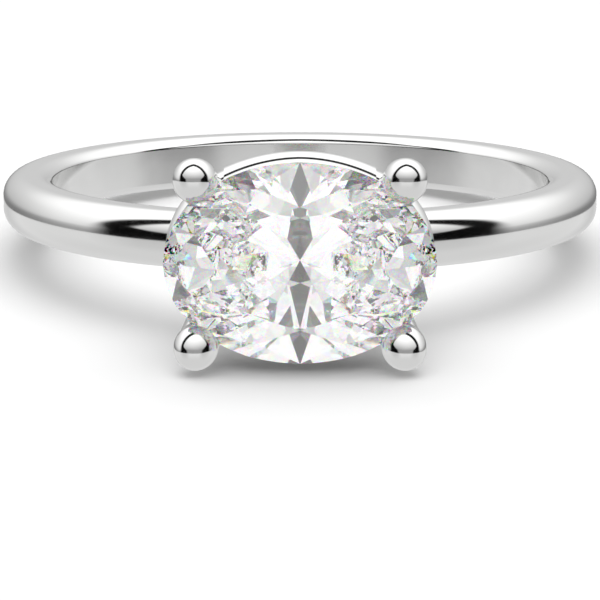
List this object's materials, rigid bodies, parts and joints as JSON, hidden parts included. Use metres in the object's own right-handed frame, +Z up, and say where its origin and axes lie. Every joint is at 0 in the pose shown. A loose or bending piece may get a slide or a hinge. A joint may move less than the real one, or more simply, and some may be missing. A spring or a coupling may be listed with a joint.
{
  "type": "east west ring",
  "caption": "Plain round band with an oval stone set with its length across the finger, held by four beaded prongs over a gallery rail; lying on its side.",
  "frame": {"origin": "on the surface the ring lies on, under the middle of its bounding box", "axes": "+Z up from the surface, -Y towards the stone, X along the stone's length"},
  "size_m": [0.0207, 0.0248, 0.0068],
  "materials": {
    "white_gold": "high polish",
    "diamond": "polished facets"
  },
  "bodies": {
    "root": {"ring_mount": "white_gold", "oval_stone": "diamond"}
  },
  "joints": []
}
